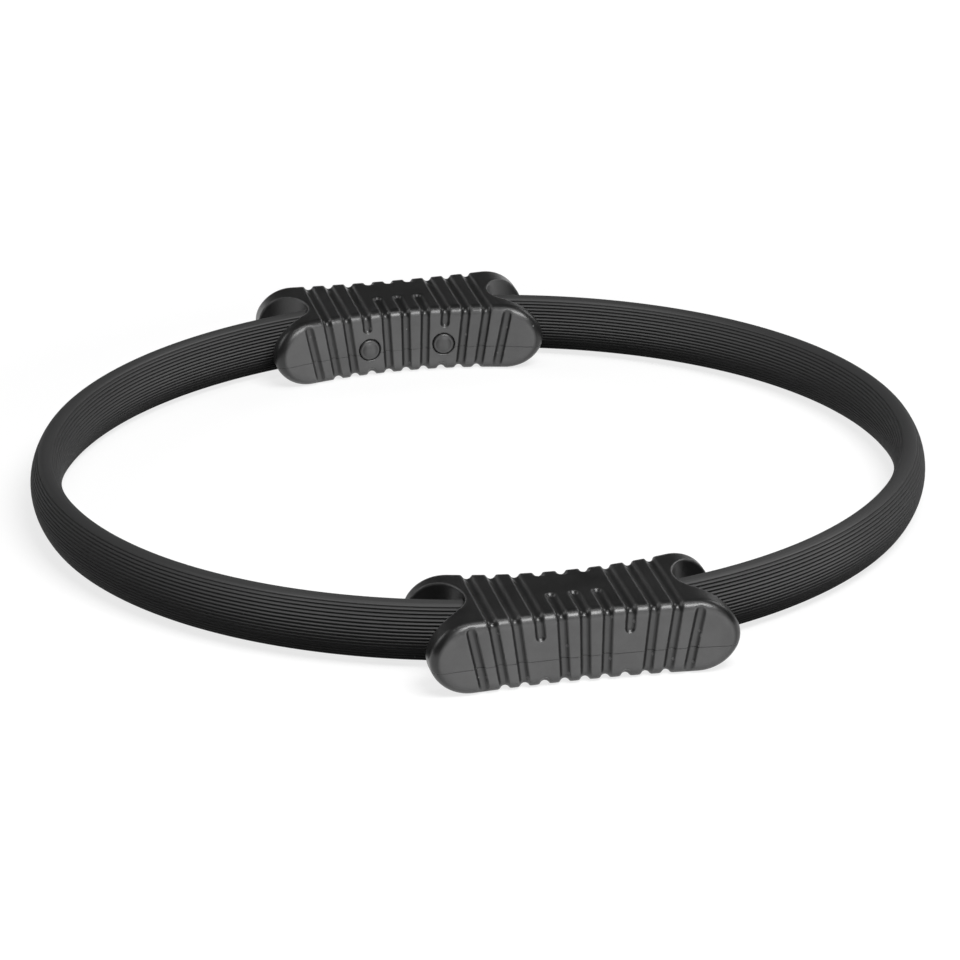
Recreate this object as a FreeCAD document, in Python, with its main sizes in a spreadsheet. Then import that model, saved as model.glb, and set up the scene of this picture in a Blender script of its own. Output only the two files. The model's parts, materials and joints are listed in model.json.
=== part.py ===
"""Pilates ring: a spring hoop in a ribbed sleeve with two grips across it, in millimetres.

The origin is the centre of the ring on its middle plane. +Z is the axis of the ring, the front grip is at -Y
and the rear grip at +Y. Angles round the ring start at the front grip and grow towards +X.

The hoop bends when the grips are squeezed. It is built as a chain of rigid links on upright hinge lines.
"""
import FreeCAD
import Part
import Sketcher
import math
import os

Vector = FreeCAD.Vector
UP = Vector(0, 0, 1)
ORIGIN = Vector(0, 0, 0)
# Channels are counted from the middle of a grip
SCREW_CHANNEL = 2
END_CHANNEL = 5
# Straight lead at the end of a channel that stops on a rounded edge
CHANNEL_LEAD = 0.05
# Turns in degrees
HALF_TURN = 180.0
FULL_TURN = 360.0

SIZES = {
    # Ring: outer size and its oval section
    "ring_outer_diameter": 356.0,
    "ring_thickness": 12.4,
    "ring_height": 23.6,
    "ring_crown_radius": 3.8,
    "rib_count": 15,
    "rib_depth": 0.35,
    # Hoop: a flat spring strip inside the sleeve
    "hoop_thickness": 4.0,
    "hoop_height": 15.0,
    "hoop_clearance": 0.2,
    "hoop_end_gap": 1.0,
    # Hinge lines of the bending hoop, in degrees from the front grip
    "first_hinge_angle": 26.0,
    "second_hinge_angle": 65.0,
    "side_hinge_angle": 90.0,
    "knuckle_radius": 2.6,
    "knuckle_clearance": 0.1,
    "squeeze_angle": 15.0,
    "pull_angle": 5.0,
    "second_hinge_share": 0.5,
    "sleeve_gap": 0.5,
    "sleeve_relief_angle": 0.4,
    # Grip: overall size, faces and rounded ends
    "grip_length": 116.0,
    "grip_thickness": 44.0,
    "grip_end_length": 16.0,
    "grip_tip_radius": 11.5,
    "grip_edge_radius": 4.0,
    "outer_face_hollow": 4.0,
    "inner_face_hollow": 12.5,
    # Notch between the two ears at each end of a grip, and the slot for the ring
    "notch_depth": 18.5,
    "notch_radius": 19.2,
    "notch_mouth_width": 42.0,
    "slot_clearance": 0.25,
    # Finger channels round the grip; the fan is the lean from one channel to the next, in degrees
    "channel_pitch": 8.0,
    "channel_fan": 2.3,
    "channel_radius": 2.0,
    "channel_depth": 1.5,
    "channel_floor": 0.6,
    "channel_long_run": 19.0,
    "channel_short_run": 4.6,
    "inner_channel_stop": 7.2,
    "outer_channel_stop": 5.8,
    "channel_foot": 1.8,
    "end_channel_drop": 1.4,
    # Ferrule and fastenings inside the grip
    "ferrule_angle": 9.0,
    "ferrule_gap": 0.5,
    "screw_drop": 2.0,
    "screw_diameter": 4.0,
    "screw_hole_clearance": 0.2,
    "screw_seat_wall": 7.0,
    "screw_head_diameter": 7.0,
    "screw_head_height": 3.0,
    "screw_key_width": 3.0,
    "screw_key_depth": 1.8,
    "insert_diameter": 6.0,
    "insert_length": 8.0,
    "insert_clearance": 0.05,
    "insert_recess": 0.5,
    "screw_tip_gap": 0.5,
    "plug_diameter": 9.0,
    "plug_clearance": 0.15,
    "plug_head_gap": 0.3,
    "plug_rim_radius": 1.0,
}

doc = FreeCAD.newDocument("PilatesRing")
sheet = doc.addObject("Spreadsheet::Sheet", "Sizes")
for row, (alias, number) in enumerate(SIZES.items(), start=1):
    sheet.set(f"A{row}", alias)
    sheet.set(f"B{row}", str(number))
    sheet.setAlias(f"B{row}", alias)
doc.recompute()


class Measure:
    """A size as its value now and as the expression that keeps it tied to the sheet."""

    def __init__(self, value, text):
        self.value = float(value)
        self.text = text

    def __add__(self, other):
        other = as_measure(other)
        return Measure(self.value + other.value, f"({self.text} + {other.text})")

    def __sub__(self, other):
        other = as_measure(other)
        return Measure(self.value - other.value, f"({self.text} - {other.text})")

    def __mul__(self, other):
        other = as_measure(other)
        return Measure(self.value * other.value, f"({self.text} * {other.text})")

    def __truediv__(self, other):
        other = as_measure(other)
        return Measure(self.value / other.value, f"({self.text} / {other.text})")

    def __neg__(self):
        return Measure(-self.value, f"(-1 * {self.text})")


def as_measure(size):
    return size if isinstance(size, Measure) else Measure(size, repr(float(size)))


def cell(alias):
    return Measure(sheet.get(alias), f"Sizes.{alias}")


def root(size):
    return Measure(math.sqrt(size.value), f"sqrt({size.text})")


def sine(angle):
    return Measure(math.sin(math.radians(angle.value)), f"sin({angle.text})")


def cosine(angle):
    return Measure(math.cos(math.radians(angle.value)), f"cos({angle.text})")


def bind(thing, path, size):
    """Tie one property of an object to the sheet."""
    thing.setExpression(path, as_measure(size).text)


# Sizes that follow from the sheet
centreline = (cell("ring_outer_diameter") - cell("ring_thickness")) / 2
half_length = cell("grip_length") / 2
half_thickness = cell("grip_thickness") / 2
screw_side = cell("channel_pitch") * SCREW_CHANNEL
screw_level = -cell("screw_drop")
slot_width = cell("ring_thickness") + cell("slot_clearance") * 2
slot_height = cell("ring_height") + cell("slot_clearance") * 2
slot_crown_radius = cell("ring_crown_radius") + cell("slot_clearance")
# The grip is as high as the slot, the channels over and under it, and the wall left beneath them
half_height = slot_height / 2 + cell("channel_depth") + cell("channel_floor")
outer_face_radius = (half_length * half_length) / (cell("outer_face_hollow") * 2) + cell("outer_face_hollow") / 2
inner_face_radius = (half_length * half_length) / (cell("inner_face_hollow") * 2) + cell("inner_face_hollow") / 2


def oval_flank_radius(half_across, half_along, crown_radius):
    """Radius of the flanks that run smoothly into crowns of the given radius."""
    rise = half_along - crown_radius
    spare = half_across - crown_radius
    return (rise * rise + half_across * half_across - crown_radius * crown_radius) / (spare * 2)


def inward_of_tangent(across):
    """How far the ring's centreline has curved in, at a distance across from the middle of a grip."""
    return centreline - root(centreline * centreline - across * across)


def inner_face_at(across):
    return half_thickness + inner_face_radius - root(inner_face_radius * inner_face_radius - across * across)


def outer_face_at(across):
    return -(half_thickness + outer_face_radius - root(outer_face_radius * outer_face_radius - across * across))


# Faces of a grip, each with its place and the way it looks
FACES = {"inner": (inner_face_at, 1), "outer": (outer_face_at, -1)}

# Places along a screw, measured inwards from the ring's tangent at the middle of the grip
screw_line_inward = inward_of_tangent(screw_side)
screw_seat = screw_line_inward + slot_width / 2 + cell("screw_seat_wall")
insert_start = screw_line_inward - slot_width / 2 - cell("insert_recess")
insert_end = insert_start - cell("insert_length")
plug_start = screw_seat + cell("screw_head_height") + cell("plug_head_gap")
plug_end = inner_face_at(screw_side)

nodes = []


def node(thing, name):
    """Give a finished object the name of its node."""
    thing.Label = name
    nodes.append(thing)
    return thing


def mirrored(source, name, normal):
    """The other piece of a pair, across the plane through the origin with this normal."""
    twin = doc.addObject("Part::Mirroring", f"twin_{name}")
    twin.Source = source
    twin.Base = ORIGIN
    twin.Normal = normal
    return twin


def cut(base, tool, name):
    result = doc.addObject("Part::Cut", f"cut_{name}")
    result.Base = base
    result.Tool = tool
    return result


# Sketch helpers
def sketch_on(body, role, name):
    sketch = body.newObject("Sketcher::SketchObject", name)
    plane = next(feature for feature in body.Origin.OriginFeatures if feature.Role == role)
    sketch.AttachmentSupport = [(plane, "")]
    sketch.MapMode = "FlatFace"
    return sketch


def dimension(sketch, kind, *geometry, size):
    """Add one dimension and tie it to the sheet."""
    index = sketch.addConstraint(Sketcher.Constraint(kind, *geometry, size.value))
    sketch.renameConstraint(index, f"size_{index}")
    bind(sketch, f"Constraints.size_{index}", size)


def pin(sketch, geometry, point, across, along):
    """Tie a point of a sketch to its distances from the axes; None puts it on that axis."""
    if across is None:
        sketch.addConstraint(Sketcher.Constraint("PointOnObject", geometry, point, -2))
    else:
        dimension(sketch, "DistanceX", -1, 1, geometry, point, size=across)
    if along is None:
        sketch.addConstraint(Sketcher.Constraint("PointOnObject", geometry, point, -1))
    else:
        dimension(sketch, "DistanceY", -1, 1, geometry, point, size=along)


def flat_point(across, along):
    return Vector(across.value if across else 0, along.value if along else 0, 0)


def draw_polygon(sketch, corners):
    first = sketch.GeometryCount
    count = len(corners)
    points = [flat_point(*place) for place in corners]
    for start, end in zip(points, points[1:] + points[:1]):
        sketch.addGeometry(Part.LineSegment(start, end))
    for index in range(count):
        following = first + (index + 1) % count
        sketch.addConstraint(Sketcher.Constraint("Coincident", first + index, 2, following, 1))
    for index, (across, along) in enumerate(corners):
        pin(sketch, first + index, 1, across, along)


def draw_circle(sketch, across, along, radius):
    circle = sketch.addGeometry(Part.Circle(flat_point(across, along), UP, radius.value))
    pin(sketch, circle, 3, across, along)
    dimension(sketch, "Radius", circle, size=radius)


def draw_arc(sketch, across, along, radius, start, end):
    circle = Part.Circle(Vector(across, along, 0), UP, radius)
    return sketch.addGeometry(Part.ArcOfCircle(circle, start, end))


def draw_long_oval(sketch, half_across, half_along, straight, tip_radius):
    """A flat oval: straight top and bottom, and at each end a shoulder, a tip and a shoulder, all tangent."""
    run = (half_across - straight).value
    high = half_along.value
    tip = tip_radius.value
    shoulder = ((run - tip) ** 2 + high ** 2 - tip ** 2) / (2 * (high - tip))
    turn = math.atan2(shoulder - high, run - tip)
    side = straight.value
    middle = half_across.value - tip
    quarter = math.pi / 2
    top = sketch.addGeometry(Part.LineSegment(Vector(side, high, 0), Vector(-side, high, 0)))
    chain = [
        draw_arc(sketch, -side, high - shoulder, shoulder, quarter, math.pi - turn),
        draw_arc(sketch, -middle, 0, tip, math.pi - turn, math.pi + turn),
        draw_arc(sketch, -side, shoulder - high, shoulder, math.pi + turn, 3 * quarter),
    ]
    bottom = sketch.addGeometry(Part.LineSegment(Vector(-side, -high, 0), Vector(side, -high, 0)))
    chain += [
        bottom,
        draw_arc(sketch, side, shoulder - high, shoulder, -quarter, -turn),
        draw_arc(sketch, middle, 0, tip, -turn, turn),
        draw_arc(sketch, side, high - shoulder, shoulder, turn, quarter),
    ]
    chain = [top] + chain
    for here, following in zip(chain, chain[1:] + chain[:1]):
        sketch.addConstraint(Sketcher.Constraint("Tangent", here, 2, following, 1))
    for line, sign in ((top, 1), (bottom, -1)):
        sketch.addConstraint(Sketcher.Constraint("Horizontal", line))
        pin(sketch, line, 1, straight * sign, half_along * sign)
        dimension(sketch, "DistanceX", -1, 1, line, 2, size=straight * -sign)
    for tip_arc, sign in ((chain[2], -1), (chain[6], 1)):
        pin(sketch, tip_arc, 3, (half_across - tip_radius) * sign, None)
        dimension(sketch, "Radius", tip_arc, size=tip_radius)


def draw_upright_oval(sketch, half_across, half_along, crown_radius):
    """The ring's section: two flat flanks and two round crowns, tangent to each other."""
    flank_radius = oval_flank_radius(half_across, half_along, crown_radius)
    rise = half_along.value - crown_radius.value
    reach = flank_radius.value - half_across.value
    turn = math.atan2(rise, reach)
    chain = [
        draw_arc(sketch, -reach, 0, flank_radius.value, -turn, turn),
        draw_arc(sketch, 0, rise, crown_radius.value, turn, math.pi - turn),
        draw_arc(sketch, reach, 0, flank_radius.value, math.pi - turn, math.pi + turn),
        draw_arc(sketch, 0, -rise, crown_radius.value, math.pi + turn, 2 * math.pi - turn),
    ]
    for here, following in zip(chain, chain[1:] + chain[:1]):
        sketch.addConstraint(Sketcher.Constraint("Tangent", here, 2, following, 1))
    for flank in chain[0::2]:
        dimension(sketch, "Radius", flank, size=flank_radius)
    for crown, sign in zip(chain[1::2], (1, -1)):
        pin(sketch, crown, 3, None, (half_along - crown_radius) * sign)
        dimension(sketch, "Radius", crown, size=crown_radius)


# Grip
def add_profile(body, kind, name, sketch):
    """Add a feature that is made from one sketch."""
    feature = body.newObject(f"PartDesign::{kind}", name)
    feature.Profile = sketch
    sketch.Visibility = False
    return feature


def check_removed(feature, before):
    """A cut that misses the solid shows no error, so the volumes are compared."""
    doc.recompute()
    if feature.Shape.Volume >= before.Shape.Volume:
        raise RuntimeError(f"{feature.Name} removes nothing")


def faces_of_radius(shape, radii):
    """Names of the round faces that have one of these radii."""
    found = []
    for index, face in enumerate(shape.Faces, start=1):
        if isinstance(face.Surface, Part.Cylinder):
            if any(abs(face.Surface.Radius - radius.value) < 1e-3 for radius in radii):
                found.append(f"Face{index}")
    return found


def draw_notch(sketch, side):
    """One notch: a round bottom on the ring's centreline and two straight sides that open past the ear tips."""
    middle = inward_of_tangent(half_length - cell("notch_depth"))
    half_mouth = cell("notch_mouth_width") / 2
    bottom = (half_length - cell("notch_depth") + cell("notch_radius")) * side
    mouth = bottom + cell("notch_depth") * side
    radius = cell("notch_radius").value
    reach = cell("notch_depth").value
    slant = math.atan2(half_mouth.value, reach) - math.asin(radius / math.hypot(reach, half_mouth.value))
    start, end = math.pi / 2 + slant, 3 * math.pi / 2 - slant
    if side < 0:
        start, end = start - math.pi, end - math.pi
    arc = draw_arc(sketch, bottom.value, middle.value, radius, start, end)
    pin(sketch, arc, 3, bottom, middle)
    dimension(sketch, "Radius", arc, size=cell("notch_radius"))
    corners = []
    for point, angle in ((2, end), (1, start)):
        upward = 1 if math.sin(angle) > 0 else -1
        touch = Vector(bottom.value + radius * math.cos(angle), middle.value + radius * math.sin(angle), 0)
        corner = Vector(mouth.value, middle.value + upward * half_mouth.value, 0)
        line = sketch.addGeometry(Part.LineSegment(touch, corner))
        sketch.addConstraint(Sketcher.Constraint("Tangent", arc, point, line, 1))
        pin(sketch, line, 2, mouth, middle + half_mouth * upward)
        corners.append((line, corner))
    closing = sketch.addGeometry(Part.LineSegment(corners[0][1], corners[1][1]))
    sketch.addConstraint(Sketcher.Constraint("Coincident", corners[0][0], 2, closing, 1))
    sketch.addConstraint(Sketcher.Constraint("Coincident", corners[1][0], 2, closing, 2))


def cut_round_holes(body, name, level, radius, length, inward, before):
    """A pair of round holes along the screws, from a level inward of the tangent."""
    sketch = sketch_on(body, "XZ_Plane", f"{name}_outline")
    for side in (1, -1):
        draw_circle(sketch, screw_side * side, screw_level, radius)
    bind(sketch, "AttachmentOffset.Base.z", -level)
    holes = add_profile(body, "Pocket", name, sketch)
    bind(holes, "Length", length)
    holes.Reversed = not inward
    check_removed(holes, before)
    return holes


def grip_blank():
    """The moulding without its channels: an oval bar with hollow faces, notched, slotted and drilled."""
    body = doc.addObject("PartDesign::Body", "grip_blank")
    outline = sketch_on(body, "XZ_Plane", "grip_end_outline")
    draw_long_oval(outline, half_length, half_height, half_length - cell("grip_end_length"),
                   cell("grip_tip_radius"))
    bar = add_profile(body, "Pad", "grip_bar", outline)
    bar.SideType = "Symmetric"
    bind(bar, "Length", cell("grip_thickness") + cell("inner_face_hollow") * 2 + cell("outer_face_hollow") * 2)
    doc.recompute()

    hollows = sketch_on(body, "XY_Plane", "face_hollows")
    draw_circle(hollows, None, -(half_thickness + outer_face_radius), outer_face_radius)
    draw_circle(hollows, None, half_thickness + inner_face_radius, inner_face_radius)
    faces = add_profile(body, "Pocket", "grip_faces", hollows)
    faces.Type = "ThroughAll"
    faces.SideType = "Symmetric"
    check_removed(faces, bar)

    edges = body.newObject("PartDesign::Fillet", "grip_edges")
    edges.Base = (faces, faces_of_radius(faces.Shape, (outer_face_radius, inner_face_radius)))
    bind(edges, "Radius", cell("grip_edge_radius"))
    check_removed(edges, faces)

    ears = sketch_on(body, "XY_Plane", "notch_outline")
    for side in (1, -1):
        draw_notch(ears, side)
    notches = add_profile(body, "Pocket", "grip_notches", ears)
    notches.Type = "ThroughAll"
    notches.SideType = "Symmetric"
    check_removed(notches, edges)

    section = sketch_on(body, "YZ_Plane", "slot_section")
    draw_upright_oval(section, slot_width / 2, slot_height / 2, slot_crown_radius)
    axis = section.addGeometry(Part.LineSegment(
        Vector(centreline.value, -slot_height.value, 0), Vector(centreline.value, slot_height.value, 0)), True)
    pin(section, axis, 1, centreline, -slot_height)
    pin(section, axis, 2, centreline, slot_height)
    slot = add_profile(body, "Groove", "ring_slot", section)
    slot.ReferenceAxis = (section, ["Axis0"])
    slot.Angle = HALF_TURN
    slot.Midplane = True
    check_removed(slot, notches)

    shank_radius = cell("screw_diameter") / 2 + cell("screw_hole_clearance")
    head_radius = cell("plug_diameter") / 2 + cell("plug_clearance")
    insert_radius = cell("insert_diameter") / 2 + cell("insert_clearance")
    shanks = cut_round_holes(body, "screw_holes", screw_line_inward, shank_radius, screw_seat, True, slot)
    heads = cut_round_holes(body, "plug_holes", screw_seat, head_radius, half_thickness, True, shanks)
    inserts = cut_round_holes(body, "insert_holes", screw_line_inward, insert_radius,
                              screw_line_inward - insert_end, False, heads)
    body.Tip = inserts
    bind(body, "Placement.Base.y", -centreline)
    return body


# Finger channels
def rounded_path(points, radius, closed=False):
    """Straight runs from point to point, joined by arcs of one radius."""
    if closed:
        middle = (points[-1] + points[0]) * 0.5
        points = [middle] + points + [middle]
    edges = []
    reached = points[0]
    for before, here, after in zip(points, points[1:], points[2:]):
        back = (before - here).normalize()
        ahead = (after - here).normalize()
        half_angle = back.getAngle(ahead) / 2
        setback = radius / math.tan(half_angle)
        outermost = here + (back + ahead).normalize() * (radius / math.sin(half_angle) - radius)
        edges.append(Part.LineSegment(reached, here + back * setback).toShape())
        edges.append(Part.Arc(here + back * setback, outermost, here + ahead * setback).toShape())
        reached = here + ahead * setback
    edges.append(Part.LineSegment(reached, points[-1]).toShape())
    return Part.Wire(edges)


def round_cutter(path, radius):
    """A round bar along a path, with ball ends where the path is open."""
    first, last = path.Edges[0], path.Edges[-1]
    start = first.valueAt(first.FirstParameter)
    end = last.valueAt(last.LastParameter)
    ring = Part.makeCircle(radius, start, first.tangentAt(first.FirstParameter))
    bar = path.makePipeShell([Part.Wire(ring)], True, True)
    if path.isClosed():
        return bar
    return bar.fuse([Part.makeSphere(radius, start), Part.makeSphere(radius, end)])


def channel_cutters(long_face):
    """All channels of one grip, spread like a fan that is widest at the top.

    The three middle ones reach far over the top and the underside from the long face.
    """
    radius = cell("channel_radius").value
    standoff = radius - cell("channel_depth").value
    edge = cell("grip_edge_radius").value
    turn = edge + standoff
    top = half_height.value + standoff
    inner_stop = (screw_level + cell("inner_channel_stop") + cell("channel_radius")).value
    outer_stop = (screw_level + cell("outer_channel_stop") + cell("channel_radius")).value
    foot = cell("channel_foot").value
    foot_turn = math.acos(max(edge - foot, 0.0) / turn)
    foot_setback = turn * math.tan(foot_turn / 2)
    foot_reach = foot_setback + max(foot - edge, CHANNEL_LEAD)
    end_start = (half_height - cell("end_channel_drop") - cell("channel_radius")).value
    cutters = []

    def place(step, face, level, run=-standoff):
        """A point of a channel's path, just off a face or a run in from it."""
        face_at, outward = FACES[face]
        slant = math.tan(math.radians(cell("channel_fan").value * step))
        across = cell("channel_pitch").value * step + (level - screw_level.value) * slant
        return Vector(across, face_at(as_measure(across)).value - outward * run, level)

    def foot_end(step, face):
        """The end of a channel that comes up from the underside to its foot, and the corner before it."""
        corner = edge - foot_setback
        end = place(step, face, foot_reach * math.sin(foot_turn) - top, corner - foot_reach * math.cos(foot_turn))
        return [end, place(step, face, -top, corner)]

    def add(points, closed=False):
        cutters.append(round_cutter(rounded_path(points, turn, closed), radius))

    for step in range(-END_CHANNEL, END_CHANNEL + 1):
        if abs(step) == END_CHANNEL:
            for face in FACES:
                add([place(step, face, end_start), place(step, face, -top - turn)])
        elif abs(step) > SCREW_CHANNEL:
            add([place(step, "inner", top), place(step, "outer", top),
                 place(step, "outer", -top), place(step, "inner", -top)], closed=True)
        elif abs(step) == SCREW_CHANNEL:
            add([place(step, "inner", inner_stop), place(step, "inner", top),
                 place(step, "outer", top), place(step, "outer", outer_stop)])
            add(foot_end(step, "inner") + foot_end(step, "outer")[::-1])
        else:
            for face in FACES:
                run = cell("channel_long_run" if face == long_face else "channel_short_run").value
                add([place(step, face, top, run), place(step, face, top),
                     place(step, face, -top), place(step, face, -top, run)])
    return Part.makeCompound(cutters)


def channelled(blank, name, long_face):
    """A grip at the front of the ring, cut from its blank."""
    cutters = doc.addObject("Part::Feature", f"{name}_channel_cutters")
    cutters.Shape = channel_cutters(long_face)
    bind(cutters, "Placement.Base.y", -centreline)
    return cut(blank, cutters, name)


# Ring: ribbed sleeve and ferrules
def ring_section(bore_width, bore_height, ribbed):
    """The oval section of the ring in the plane of the front grip's middle, with its bore."""
    half_width = cell("ring_thickness").value / 2
    half_rise = cell("ring_height").value / 2
    crown = cell("ring_crown_radius").value
    flank = oval_flank_radius(cell("ring_thickness") / 2, cell("ring_height") / 2,
                              cell("ring_crown_radius")).value
    turn = math.atan2(half_rise - crown, flank - half_width)
    ribs = int(cell("rib_count").value) if ribbed else 1
    depth = cell("rib_depth").value if ribbed else 0.0

    def place(offset, level):
        return Vector(0, -centreline.value - offset, level)

    def on_flank(side, angle, radius):
        return place(side * (half_width - flank + radius * math.cos(angle)), radius * math.sin(angle))

    edges = []
    for side in (1, -1):
        for rib in range(ribs):
            low = turn * (2 * rib / ribs - 1)
            high = turn * (2 * (rib + 1) / ribs - 1)
            edges.append(Part.Arc(on_flank(side, low, flank - depth), on_flank(side, (low + high) / 2, flank),
                                  on_flank(side, high, flank - depth)).toShape())
        if ribbed:
            for end in (turn, -turn):
                edges.append(Part.LineSegment(on_flank(side, end, flank - depth),
                                              on_flank(side, end, flank)).toShape())
    for sign in (1, -1):
        edges.append(Part.Arc(on_flank(1, sign * turn, flank), place(0, sign * half_rise),
                              on_flank(-1, sign * turn, flank)).toShape())
    outline = Part.Wire(Part.__sortEdges__(edges))
    corners = [(1, 1), (-1, 1), (-1, -1), (1, -1), (1, 1)]
    bore = Part.makePolygon([place(across * bore_width / 2, along * bore_height / 2) for across, along in corners])
    return Part.makeFace([outline, bore], "Part::FaceMakerBullseye")


def hinge_relief(angle, share, side):
    """The wedges that a sleeve end loses at a hinge line, so that it clears its neighbour when the hoop bends.

    A positive share closes the outside of the ring when the grips are squeezed, a negative one the inside.
    The side is 1 where the sleeve starts at the hinge and -1 where it ends there.
    """
    squeezed = abs(share) * cell("squeeze_angle").value
    pulled = abs(share) * cell("pull_angle").value
    outside, inside = (squeezed, pulled) if share > 0 else (pulled, squeezed)
    half_gap = cell("sleeve_gap").value / 2
    width = cell("ring_thickness").value
    height = cell("ring_height").value
    relief = cell("sleeve_relief_angle").value
    around = math.radians(angle)
    outward = Vector(math.sin(around), -math.cos(around), 0)
    along = Vector(math.cos(around), math.sin(around), 0) * side

    def place(offset, closing):
        setback = half_gap + abs(offset) * math.tan(math.radians(closing / 2 + relief))
        return outward * (centreline.value + offset) + along * setback

    back = along * width * 2
    corners = [place(-width, inside), place(0, 0), place(width, outside)]
    corners += [corners[2] - back, corners[0] - back]
    wedge = Part.Face(Part.makePolygon(corners + corners[:1]))
    wedge.translate(UP * -height)
    return wedge.extrude(UP * 2 * height)


def ring_piece(name, start, end, bore, ribbed, hinges=()):
    """A stretch of the ring's section between two angles, relieved at the hinge lines that it meets."""
    section = ring_section(bore[0].value, bore[1].value, ribbed)
    section.rotate(ORIGIN, UP, start)
    shape = section.revolve(ORIGIN, UP, end - start)
    for angle, share, side in hinges:
        shape = shape.cut(hinge_relief(angle, share, side))
    piece = doc.addObject("Part::Feature", name)
    piece.Shape = shape
    return piece


# Hoop: links of the spring strip
def strip_section(body):
    sketch = sketch_on(body, "YZ_Plane", f"{body.Name}_section")
    inside = -(centreline - cell("hoop_thickness") / 2)
    outside = -(centreline + cell("hoop_thickness") / 2)
    high = cell("hoop_height") / 2
    draw_polygon(sketch, [(outside, -high), (inside, -high), (inside, high), (outside, high)])
    return sketch


def hoop_piece(name, start, end, knuckle, sockets):
    """A stretch of the strip between two angles. Its frame is turned so that its middle is at -Y."""
    body = doc.addObject("PartDesign::Body", name)
    half_span = (end - start) / 2
    strip = add_profile(body, "Revolution", f"{name}_strip", strip_section(body))
    axis = next(feature for feature in body.Origin.OriginFeatures if feature.Role == "Z_Axis")
    strip.ReferenceAxis = (axis, [""])
    strip.Midplane = True
    bind(strip, "Angle", end - start)
    doc.recompute()
    last = strip
    if knuckle:
        sketch = sketch_on(body, "XY_Plane", f"{name}_knuckle_outline")
        draw_circle(sketch, -(centreline * sine(half_span)), -(centreline * cosine(half_span)),
                    cell("knuckle_radius"))
        last = add_profile(body, "Pad", f"{name}_knuckle", sketch)
        last.SideType = "Symmetric"
        bind(last, "Length", cell("hoop_height"))
        doc.recompute()
    if sockets:
        sketch = sketch_on(body, "XY_Plane", f"{name}_socket_outline")
        for side in sockets:
            draw_circle(sketch, centreline * sine(half_span) * side, -(centreline * cosine(half_span)),
                        cell("knuckle_radius") + cell("knuckle_clearance"))
        pocket = add_profile(body, "Pocket", f"{name}_socket", sketch)
        pocket.Type = "ThroughAll"
        pocket.SideType = "Symmetric"
        check_removed(pocket, last)
        last = pocket
    body.Tip = last
    body.Placement = FreeCAD.Placement(ORIGIN, FreeCAD.Rotation(UP, 1.0))
    bind(body, "Placement.Rotation.Angle", (start + end) / 2)
    return body


# Fastenings
def along_screw(kind, name, level, **sizes):
    """A primitive on the right-hand screw line that runs outwards from a level inward of the tangent."""
    thing = doc.addObject(kind, name)
    thing.Placement = FreeCAD.Placement(ORIGIN, FreeCAD.Rotation(Vector(1, 0, 0), 90))
    for key, size in sizes.items():
        bind(thing, key, size)
    bind(thing, "Placement.Base.x", screw_side)
    bind(thing, "Placement.Base.y", level - centreline)
    bind(thing, "Placement.Base.z", screw_level)
    return thing


def pair(right, name):
    """A piece and its twin on the other side of the middle, as one group of separate solids."""
    group = doc.addObject("Part::Compound", f"pair_{name}")
    group.Links = [right, mirrored(right, name, Vector(1, 0, 0))]
    return group


def screw():
    seat = screw_seat
    length = screw_seat - insert_end - cell("screw_tip_gap")
    top = seat + cell("screw_head_height")
    shank = along_screw("Part::Cylinder", "screw_shank", seat, Radius=cell("screw_diameter") / 2, Height=length)
    head = along_screw("Part::Cylinder", "screw_head", top, Radius=cell("screw_head_diameter") / 2,
                       Height=cell("screw_head_height"))
    key = along_screw("Part::Prism", "screw_key", top, Circumradius=cell("screw_key_width") / math.sqrt(3),
                      Height=cell("screw_key_depth"))
    key.Polygon = 6
    whole = doc.addObject("Part::Fuse", "screw_whole")
    whole.Base = head
    whole.Tool = shank
    return cut(whole, key, "screw")


def insert():
    outside = along_screw("Part::Cylinder", "insert_outside", insert_start, Radius=cell("insert_diameter") / 2,
                          Height=cell("insert_length"))
    thread = along_screw("Part::Cylinder", "insert_thread", insert_start,
                         Radius=cell("screw_diameter") / 2 + cell("insert_clearance"),
                         Height=cell("insert_length"))
    return cut(outside, thread, "insert")


def plug():
    """A round plug with a rounded rim that closes the hole over a screw head."""
    body = doc.addObject("PartDesign::Body", "plug_blank")
    profile = sketch_on(body, "XY_Plane", "plug_profile")
    radius = cell("plug_diameter") / 2
    draw_polygon(profile, [(None, plug_start), (radius, plug_start), (radius, plug_end), (None, plug_end)])
    disc = add_profile(body, "Revolution", "plug_disc", profile)
    disc.ReferenceAxis = (profile, ["V_Axis"])
    disc.Angle = FULL_TURN
    doc.recompute()
    rim = [f"Edge{index}" for index, edge in enumerate(disc.Shape.Edges, start=1)
           if isinstance(edge.Curve, Part.Circle) and abs(edge.Curve.Center.y - plug_end.value) < 1e-6]
    rounded = body.newObject("PartDesign::Fillet", "plug_rim")
    rounded.Base = (disc, rim)
    bind(rounded, "Radius", cell("plug_rim_radius"))
    check_removed(rounded, disc)
    body.Tip = rounded
    bind(body, "Placement.Base.x", screw_side)
    bind(body, "Placement.Base.y", -centreline)
    bind(body, "Placement.Base.z", screw_level)
    return body


# Assembly
ACROSS = Vector(1, 0, 0)
LENGTHWISE = Vector(0, 1, 0)

screw_bore = along_screw("Part::Cylinder", "screw_bore", plug_start,
                         Radius=cell("screw_diameter") / 2 + cell("screw_hole_clearance"),
                         Height=plug_start - insert_end)
front_bores = pair(screw_bore, "bores")
rear_bores = mirrored(front_bores, "rear_bores", LENGTHWISE)

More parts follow.
